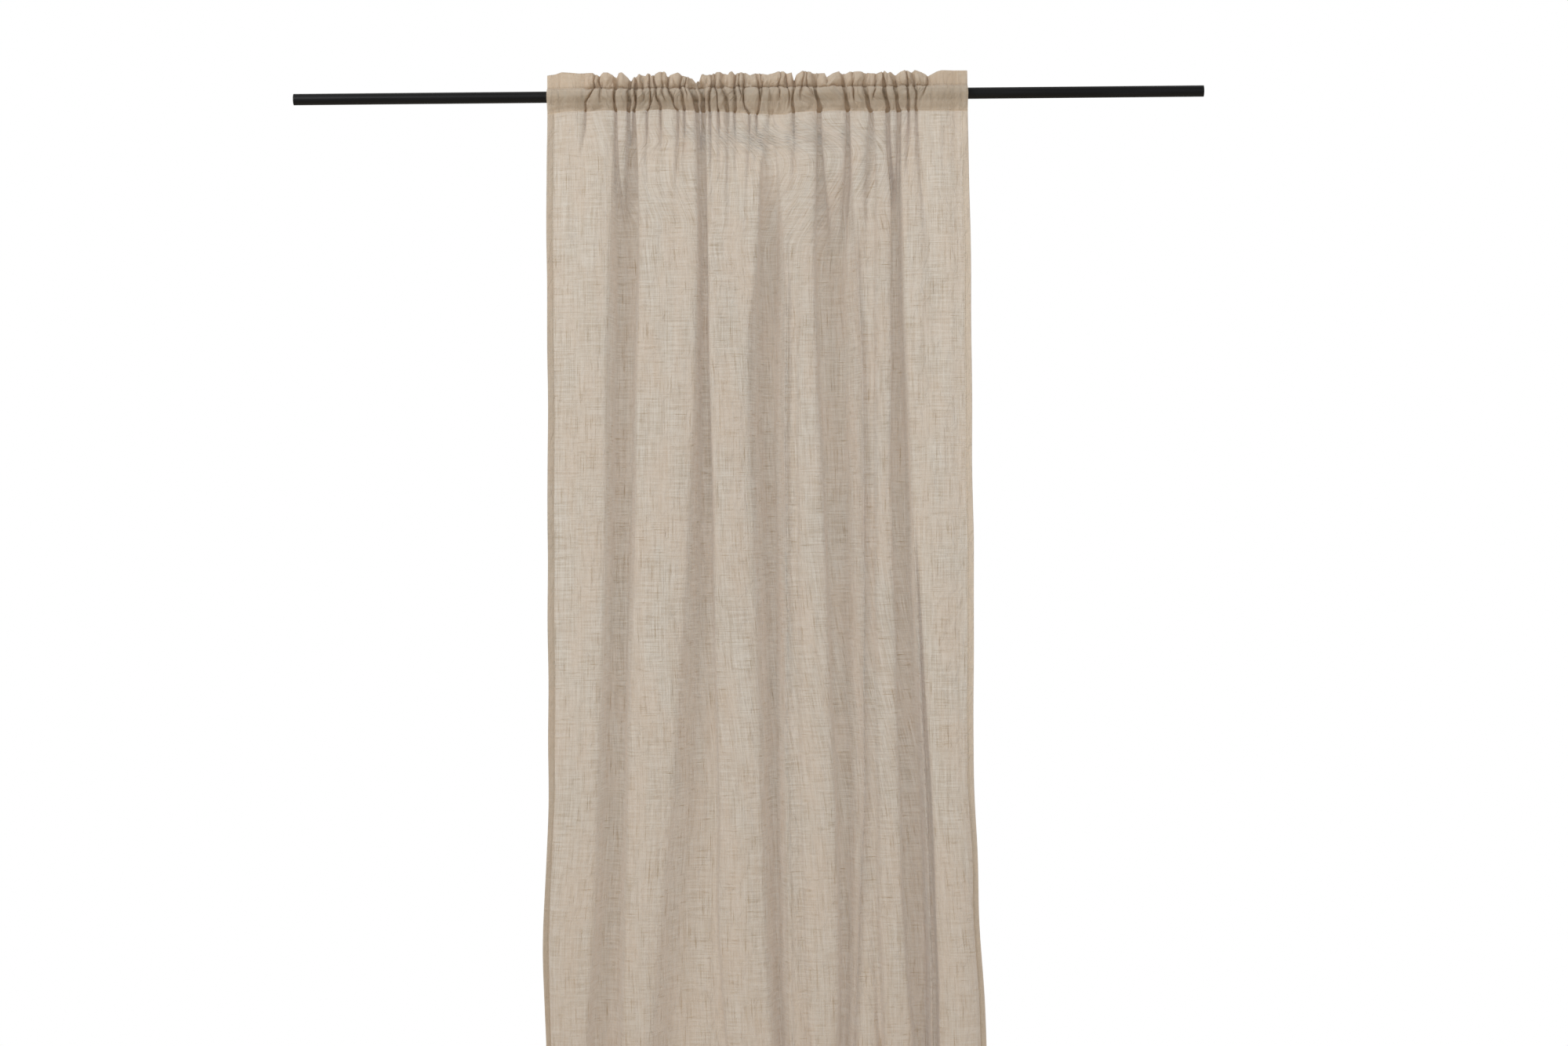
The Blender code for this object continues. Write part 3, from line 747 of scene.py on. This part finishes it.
def plug_material(looks):
    """Moulded black polypropylene with a fine spark-eroded texture, duller than the rod."""
    made, add = blank_material("moulded_polypropylene", looks.plug)
    # Grain of about 0.7 mm, coarser than the real one so that it shows.
    grain = add("TexNoise", {"Vector": add("TexCoord").outputs["Object"], "Scale": 1400.0, "Detail": 2.0})
    finish_plain(add, grain, (looks.plug, looks.rod_worn), 0.3, 0.0002, {"Roughness": 0.55})
    return made


def tape_material(looks):
    """Woven polyester satin tape, off-white, with the fine rib of its floats along its length."""
    made, add = blank_material("satin_label_tape", looks.tape)
    rib = threads(add, add("UVMap", uv_map="cloth_metres"), 0.0006, 0.012, True, 1.0, 2.0)
    surface = {"Roughness": 0.42, "Sheen Weight": 0.2}
    finish_plain(add, rib, (looks.tape_shade, looks.tape), 0.3, 0.0002, surface)
    return made


def floor_material(looks):
    """Pale matt studio floor with the slight mottle of painted board."""
    made, add = blank_material("painted_board", looks.floor)
    mottle = add("TexNoise", {"Vector": add("TexCoord").outputs["Object"], "Scale": 3.0, "Detail": 3.0})
    colours = {"Factor": mottle, FIRST: linear(looks.floor), SECOND: linear(looks.floor_light)}
    mixed = add("Mix", colours, data_type="RGBA").outputs[MIXED]
    add("OutputMaterial", {"Surface": add("BsdfPrincipled", {"Base Color": mixed, "Roughness": 0.75})})
    return made


# ---------------------------------------------------------------------------- properties


def length(name, description, default):
    return FloatProperty(name=name, description=description, default=default, min=0.0, unit="LENGTH")


def colour(name, description, default):
    return StringProperty(name=name, description=description + ", as sRGB hex", default=default)


class CurtainSizes(bpy.types.PropertyGroup):
    """Sizes of the cloth and its sewing."""

    flat_width: length("Flat width", "Width of the panel before it is gathered", 1.40)
    pocket: length("Pocket", "Height of the rod pocket laid flat", 0.055)
    frill: length("Frill", "Height of the heading frill laid flat", 0.025)
    side_hem: length("Side hem", "Width of the turned side hems", 0.012)
    cloth: length("Cloth", "Thickness of one layer of cloth", 0.0006)
    stitch_pitch: length("Stitch pitch", "From one stitch to the next", 0.0033)
    stitch_length: length("Stitch length", "What shows of one stitch", 0.0025)
    thread: length("Thread", "Diameter of the sewing thread", 0.0005)
    seam_inset: length("Seam inset", "From a seam to the edge of its hem", 0.0025)


class CurtainLooks(bpy.types.PropertyGroup):
    """Colours of the finishes."""

    linen: colour("Linen", "Flax cloth in the light", "E2D9CA")
    linen_shade: colour("Linen shade", "Between the threads of the cloth", "C2B39E")
    linen_warm: colour("Linen warm", "The warmer clouds in the cloth", "DCC6AE")
    # Painted shade: the darker, warmer colour that the cloth is mixed toward near the floor.
    linen_painted_low_shade: colour("Linen below", "The cloth's warmer tone toward the floor", "CBB294")
    # Painted light: the paler colour that the doubled heading is mixed toward.
    linen_heading_painted_light: colour("Linen heading", "Doubled and gathered cloth at the rod", "F7E6CF")
    # Painted light: the paler colour that the side hems are mixed toward.
    linen_layers_painted_light: colour("Linen in layers", "Several layers, which send more light back", "FBF2E4")
    linen_through: colour("Linen against the light", "What the cloth lets through", "DCC1A0")
    linen_slub: colour("Slubs", "Thick places in the yarn", "9F8C70")
    linen_fleck: colour("Flecks", "Pale specks of flax", "EFE6D8")
    thread: colour("Thread", "Sewing thread", "CFC0AA")
    thread_shade: colour("Thread shade", "The turns of the thread", "B5A48C")
    rod: colour("Rod", "Powder coat", "0D0D0E")
    rod_worn: colour("Worn rod", "Where the coat is rubbed", "18181A")
    plug: colour("Plugs", "Moulded plugs", "161616")
    tape: colour("Tape", "Label tape", "EEECE6")
    tape_shade: colour("Tape shade", "Between the ribs of the tape", "DAD7CF")
    floor: colour("Floor", "Studio floor", "D3C7B4")
    floor_light: colour("Floor light", "Lighter mottle of the floor", "DACFBD")


# ---------------------------------------------------------------------------- operators


def chosen(scene):
    """The sizes and the looks that the scene holds."""
    return scene.curtain_sizes, scene.curtain_looks


def nearest(values, value):
    """The place in the list of the value nearest to this one."""
    return int(np.argmin(np.abs(values - value)))


class CURTAIN_OT_drop(bpy.types.Operator):
    """Hang the gathered cloth between the side hems, from the pocket to the bottom hem"""

    bl_idname = "curtain.drop"
    bl_label = "Hang the drop"

    def execute(self, context):
        sizes, looks = chosen(context.scene)
        rows, heights = drop_cloth(sizes.flat_width)
        hem = hem_columns(sizes)
        last = nearest(heights, HEM_TOP)
        grid = rows[: last + 1, hem : COLUMNS + 1 - hem]
        across = np.linspace(0, sizes.flat_width, COLUMNS + 1)[hem : COLUMNS + 1 - hem]
        down = (heights - SEAM_LOW)[: last + 1]
        piece = cloth_piece("drop_cloth", grid, across[None, :], down[:, None], linen_material(looks))
        gather(piece)
        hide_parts("panel_cloth")
        return {"FINISHED"}


def hem_columns(sizes):
    """How many of the drop's columns a side hem is wide."""
    return round(sizes.side_hem / sizes.flat_width * COLUMNS)


class CURTAIN_OT_side_hems(bpy.types.Operator):
    """Turn both side edges of the drop twice to the back"""

    bl_idname = "curtain.side_hems"
    bl_label = "Turn the side hems"

    def execute(self, context):
        sizes, looks = chosen(context.scene)
        rows, heights = drop_cloth(sizes.flat_width)
        facing = normals(rows)
        last = nearest(heights, HEM_TOP)
        down = (heights - SEAM_LOW)[: last + 1]
        hem = hem_columns(sizes)
        for side, name in ((0, "left_side_hem"), (1, "right_side_hem")):
            order = list(range(hem, -1, -1)) if side == 0 else list(range(COLUMNS - hem, COLUMNS + 1))
            # Each hem is mixed paler, a painted light.
            finish_name, pale = HEM_PAINTED_LIGHT[name]
            finish = linen_material(looks, finish_name, looks.linen_layers_painted_light, pale)
            piece = turned_hem(name + "_cloth", rows[: last + 1, order], facing[: last + 1, order], 1,
                               sizes, side * sizes.flat_width, down, finish)
            gather(piece)
            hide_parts(name)
        return {"FINISHED"}


def turned_hem(name, rows, facing, axis, sizes, start, along, finish):
    """Three layers of cloth folded round an edge: the face, the turn behind it, and the raw edge
    tucked between them. Rows run from the inside of the hem to its edge along the given axis."""
    rows, facing = (rows, facing) if axis == 1 else (rows.swapaxes(0, 1), facing.swapaxes(0, 1))
    layers = [(0, 0.0), (-1, 2 * sizes.cloth), (1, sizes.cloth)]
    wide = rows.shape[1]
    places, stands = [], []
    for direction, stand in layers:
        order = range(wide) if direction != -1 else range(wide - 1, -1, -1)
        if direction == 1:
            order = range(1, wide - 1)
        for column in order:
            places.append(column)
            stands.append(stand * HEM_LOFT)
    grid = rows[:, places] + facing[:, places] * np.array(stands)[None, :, None]
    pitch = sizes.side_hem / 6 if axis == 1 else 0.01
    across = start + np.arange(len(places)) * pitch
    if axis == 1:
        return cloth_piece(name, grid, across[None, :], along[:, None], finish)
    grid = grid.swapaxes(0, 1)
    return cloth_piece(name, grid, along[None, :], -across[:, None], finish)


class CURTAIN_OT_bottom_hem(bpy.types.Operator):
    """Turn the bottom edge twice to the back"""

    bl_idname = "curtain.bottom_hem"
    bl_label = "Turn the bottom hem"

    def execute(self, context):
        sizes, looks = chosen(context.scene)
        rows, heights = drop_cloth(sizes.flat_width)
        facing = normals(rows)
        first = nearest(heights, HEM_TOP)
        across = np.linspace(0, sizes.flat_width, COLUMNS + 1)
        piece = turned_hem("bottom_hem_cloth", rows[first:], facing[first:], 0, sizes,
                           SEAM_LOW - HEM_TOP, across, linen_material(looks))
        gather(piece)
        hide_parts("bottom_hem")
        return {"FINISHED"}


class CURTAIN_OT_pocket(bpy.types.Operator):
    """Wrap both layers of the rod pocket round the rod"""

    bl_idname = "curtain.pocket"
    bl_label = "Wrap the rod pocket"

    def execute(self, context):
        sizes, looks = chosen(context.scene)
        across = np.linspace(0, sizes.flat_width, HEADER_COLUMNS + 1)
        # The heading is mixed paler, a painted light for its doubled cloth.
        finish = linen_material(looks, "linen_voile_heading", looks.linen_heading_painted_light, HEADING_PAINTED_LIGHT)
        for layer, name in ((-1, "pocket_front"), (1, "pocket_back")):
            rows, heights = header_cloth(sizes.flat_width, layer)
            last = nearest(heights, SEAM_TOP)
            up = path_length(rows)[: last + 1]
            up *= sizes.pocket / up[-1]
            # The back layer takes its pattern from 6 m away, so that it differs from the front's.
            piece = cloth_piece(name + "_cloth", rows[: last + 1], across[None, :],
                                up[:, None] + 3 * (layer + 1), finish)
            gather(piece)
            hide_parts(name)
        return {"FINISHED"}


class CURTAIN_OT_frill(bpy.types.Operator):
    """Stand the folded heading frill up above the rod"""

    bl_idname = "curtain.frill"
    bl_label = "Stand up the frill"

    def execute(self, context):
        sizes, looks = chosen(context.scene)
        front, heights = header_cloth(sizes.flat_width, -1)
        back, _ = header_cloth(sizes.flat_width, 1)
        first = nearest(heights, SEAM_TOP)
        crest = (front[-1] + back[-1]) / 2 + np.array([0, 0, 0.0007])
        grid = np.concatenate([front[first:], crest[None], back[first:][::-1]])
        across = np.linspace(0, sizes.flat_width, HEADER_COLUMNS + 1)
        up = path_length(grid)
        up *= 2 * sizes.frill / up[-1]
        # The frill is mixed paler, a painted light for its doubled cloth.
        finish = linen_material(looks, "linen_voile_heading", looks.linen_heading_painted_light, HEADING_PAINTED_LIGHT)
        # The frill's pattern goes on above the pocket's.
        piece = cloth_piece("frill_cloth", grid, across[None, :], up[:, None] + 0.06, finish)
        gather(piece)
        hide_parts("heading_frill")
        return {"FINISHED"}


def one_stitch(sizes):
    """One stitch along X: a short thread whose ends taper and dip into the cloth."""
    deselect()
    radius = sizes.thread / 2
    bpy.ops.mesh.primitive_cylinder_add(vertices=5, radius=radius, depth=sizes.stitch_length * 0.5,
                                        rotation=(0, math.pi / 2, 0))
    stitch = bpy.context.object
    bpy.ops.object.transform_apply(location=True, rotation=True, scale=True)
    for side in (-1, 1):
        bpy.ops.object.mode_set(mode="EDIT")
        bpy.ops.mesh.select_all(action="DESELECT")
        bpy.ops.object.mode_set(mode="OBJECT")
        for face in stitch.data.polygons:
            face.select = face.normal.x * side > 0.9
        bpy.ops.object.mode_set(mode="EDIT")
        bpy.ops.mesh.select_mode(type="FACE")
        shift = (side * sizes.stitch_length * 0.25, 0, -0.9 * radius)
        bpy.ops.mesh.extrude_region_move(TRANSFORM_OT_translate={"value": shift})
        bpy.ops.transform.resize(value=(1, 0.45, 0.45))
        bpy.ops.object.mode_set(mode="OBJECT")
    points = np.array([v.co for v in stitch.data.vertices])
    faces = [list(p.vertices) for p in stitch.data.polygons]
    bpy.data.objects.remove(stitch, do_unlink=True)
    return points, faces


def sew(name, node, line, facing, side, sizes, finish):
    """Stitches along a line of points, on the front (-1) or the back (1) of the cloth."""
    model, faces = one_stitch(sizes)
    along = distances(line)
    count = int(along[-1] / sizes.stitch_pitch)
    centres = (np.arange(count) + 0.5) * along[-1] / count
    reach = sizes.stitch_length / 2

    def at(table, s):
        return np.stack([np.interp(s, along, table[:, k]) for k in range(3)], axis=1)

    middle, outward = at(line, centres), side * at(facing, centres)
    ahead = at(line, centres + reach) - at(line, centres - reach)
    ahead /= np.linalg.norm(ahead, axis=1, keepdims=True)
    outward -= ahead * np.sum(outward * ahead, axis=1, keepdims=True)
    outward /= np.linalg.norm(outward, axis=1, keepdims=True)
    aside = np.cross(outward, ahead)
    middle = middle + outward * sizes.thread * 0.4
    points = (middle[:, None] + model[None, :, :1] * ahead[:, None] + model[None, :, 1:2] * aside[:, None]
              + model[None, :, 2:] * outward[:, None])
    all_faces = [[v + i * len(model) for v in face] for i in range(count) for face in faces]
    piece = new_piece(name, points, all_faces, finish)
    gather(piece)
    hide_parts(node)


class CURTAIN_OT_seams(bpy.types.Operator):
    """Sew the five lockstitched seams, each with its needle thread in front and bobbin behind"""

    bl_idname = "curtain.seams"
    bl_label = "Sew the seams"

    def execute(self, context):
        sizes, looks = chosen(context.scene)
        finish = thread_material(looks)
        layers = {side: header_cloth(sizes.flat_width, side) for side in (-1, 1)}
        rows, heights = drop_cloth(sizes.flat_width)
        facing = normals(rows)
        hem = hem_columns(sizes)
        end = nearest(heights, HEM_TOP)
        for thread, side in (("needle_thread", -1), ("bobbin_thread", 1)):
            header, levels = layers[side]
            outward = normals(header)
            lines = []
            for seam, edge in (("heading_seam", SEAM_TOP), ("pocket_seam", SEAM_LOW)):
                row = nearest(levels, edge + sizes.seam_inset)
                lines.append((seam, header[row], outward[row]))
            stand = BEHIND_HEM * sizes.cloth if side == 1 else 0.0
            for name, column in (("left_side_hem", hem - 1), ("right_side_hem", COLUMNS - hem + 1)):
                out = facing[: end + 1, column]
                lines.append((name, rows[: end + 1, column] + out * stand, out))
            share = sizes.seam_inset / (heights[end] - heights[end + 1])
            line = rows[end] + (rows[end + 1] - rows[end]) * share + facing[end] * stand
            lines.append(("bottom_hem", line, facing[end]))
            for name, line, out in lines:
                sew(f"{name}_{thread}_stitches", f"{name}_{thread}", line, out, side, sizes, finish)
        return {"FINISHED"}


class CURTAIN_OT_label(bpy.types.Operator):
    """Hang the blank care label behind the left side hem"""

    bl_idname = "curtain.label"
    bl_label = "Hang the care label"

    def execute(self, context):
        sizes, looks = chosen(context.scene)
        rows, heights = drop_cloth(sizes.flat_width)
        facing = normals(rows)
        low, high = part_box("care_label")
        steps = np.linspace(high.z, low.z, LABEL_ROWS)
        columns = np.arange(*LABEL_COLUMNS)
        grid = []
        for k, z in enumerate(steps):
            row = int(np.searchsorted(-heights, -z)) - 1
            share = (heights[row] - z) / (heights[row] - heights[row + 1])
            place = rows[row, columns] * (1 - share) + rows[row + 1, columns] * share
            curl = 0.0026 + 0.006 * (k / (LABEL_ROWS - 1)) ** 2
            grid.append(place + facing[row, columns] * curl)
        grid = np.array(grid)
        across = (columns - columns[0]) * sizes.flat_width / COLUMNS
        piece = cloth_piece("label_tape", grid, across[None, :], (high.z - steps)[:, None],
                            tape_material(looks))
        wall = piece.modifiers.new("thickness", "SOLIDIFY")
        wall.thickness = LABEL_THICKNESS
        wall.offset = 0
        deselect()
        piece.select_set(True)
        context.view_layer.objects.active = piece
        bpy.ops.object.modifier_apply(modifier="thickness")
        gather(piece)
        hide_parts("care_label")
        return {"FINISHED"}


class CURTAIN_OT_rod(bpy.types.Operator):
    """Give the rod and its two end plugs their finishes"""

    bl_idname = "curtain.rod"
    bl_label = "Finish the rod"

    def execute(self, context):
        _, looks = chosen(context.scene)
        coat, plastic = rod_material(looks), plug_material(looks)
        finishes = {"rod_tube": coat, "rod_end_plug_left": plastic, "rod_end_plug_right": plastic}
        for name, finish in finishes.items():
            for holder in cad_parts[name].material_slots:
                holder.material = finish
        return {"FINISHED"}


class CURTAIN_OT_stage(bpy.types.Operator):
    """Set the floor, the lights, the white surround and the camera"""

    bl_idname = "curtain.stage"
    bl_label = "Set the stage"

    def execute(self, context):
        _, looks = chosen(context.scene)
        deselect()
        bpy.ops.mesh.primitive_plane_add(size=FLOOR_SIZE, location=(0, 0, PANEL_BOTTOM - FLOOR_GAP))
        floor = bpy.context.object
        floor.name = "studio_floor"
        bpy.ops.object.transform_apply(location=True)
        floor.data.materials.append(floor_material(looks))
        for name, (place, aim, size, power) in LIGHTS.items():
            data = bpy.data.lights.new(name, "AREA")
            data.shape, data.size, data.energy = "SQUARE", size, power
            data.color = LIGHT_COLOUR
            lamp = bpy.data.objects.new(name, data)
            lamp.location = place
            aimed = Vector(aim) - Vector(place)
            lamp.rotation_euler = aimed.to_track_quat("-Z", "Y").to_euler()
            context.scene.collection.objects.link(lamp)
        surround()
        camera()
        context.scene.view_settings.view_transform = "Standard"
        return {"FINISHED"}


def surround():
    """A white room: pure white where it is seen, and brighter behind the cloth than before it."""
    world = bpy.data.worlds.new("white_room")
    bpy.context.scene.world = world
    world.use_nodes = True
    world.node_tree.nodes.clear()
    add = functools.partial(add_node, world.node_tree)
    depth = add("SeparateXYZ", {"Vector": add("TexCoord").outputs["Generated"]}).outputs["Y"]
    strength = add("MapRange", {
        "Value": depth, "From Min": -0.3, "From Max": 0.3, "To Min": ROOM_BEFORE, "To Max": ROOM_BEHIND,
    }, interpolation_type="SMOOTHSTEP")
    seen = add("Background", {"Color": (1, 1, 1, 1), "Strength": 1.0})
    light = add("Background", {"Color": ROOM_COLOUR, "Strength": strength})
    camera_ray = add("LightPath").outputs["Is Camera Ray"]
    add("OutputWorld", {"Surface": add("MixShader", {0: camera_ray, 1: light, 2: seen})})


def camera():
    """A level camera before the upper part of the panel, turned a little about its line of sight."""
    lens = bpy.data.cameras.new("camera")
    lens.lens, lens.sensor_width = LENS, SENSOR
    seen = bpy.data.objects.new("camera", lens)
    tip = Matrix.Rotation(math.radians(CAMERA_TIP), 4, "Z")
    seen.matrix_world = Matrix.Translation(CAMERA_PLACE) @ Matrix.Rotation(math.pi / 2, 4, "X") @ tip
    bpy.context.scene.collection.objects.link(seen)
    bpy.context.scene.camera = seen


class CURTAIN_PT_panel(bpy.types.Panel):
    """Lists the steps that build the curtain"""

    bl_idname = "CURTAIN_PT_panel"
    bl_label = "Rod Pocket Curtain"
    bl_space_type = "VIEW_3D"
    bl_region_type = "UI"
    bl_category = "Curtain"

    def draw(self, context):
        for group in (context.scene.curtain_sizes, context.scene.curtain_looks):
            box = self.layout.box()
            for name in group.__annotations__:
                box.prop(group, name)
        for step in STEPS:
            self.layout.operator(step.bl_idname)


STEPS = (
    CURTAIN_OT_stage, CURTAIN_OT_rod, CURTAIN_OT_drop, CURTAIN_OT_side_hems, CURTAIN_OT_bottom_hem,
    CURTAIN_OT_pocket, CURTAIN_OT_frill, CURTAIN_OT_seams, CURTAIN_OT_label,
)
CLASSES = (CurtainSizes, CurtainLooks, *STEPS, CURTAIN_PT_panel)


def register():
    for item in CLASSES:
        bpy.utils.register_class(item)
    bpy.types.Scene.curtain_sizes = PointerProperty(type=CurtainSizes)
    bpy.types.Scene.curtain_looks = PointerProperty(type=CurtainLooks)


def unregister():
    del bpy.types.Scene.curtain_looks
    del bpy.types.Scene.curtain_sizes
    for item in reversed(CLASSES):
        bpy.utils.unregister_class(item)


def main():
    """Builds everything in order."""
    register()
    bpy.ops.curtain.stage()
    bpy.ops.curtain.rod()
    bpy.ops.curtain.drop()
    bpy.ops.curtain.side_hems()
    bpy.ops.curtain.bottom_hem()
    bpy.ops.curtain.pocket()
    bpy.ops.curtain.frill()
    bpy.ops.curtain.seams()
    bpy.ops.curtain.label()
    bpy.context.view_layer.update()


if __name__ == "__main__":
    main()
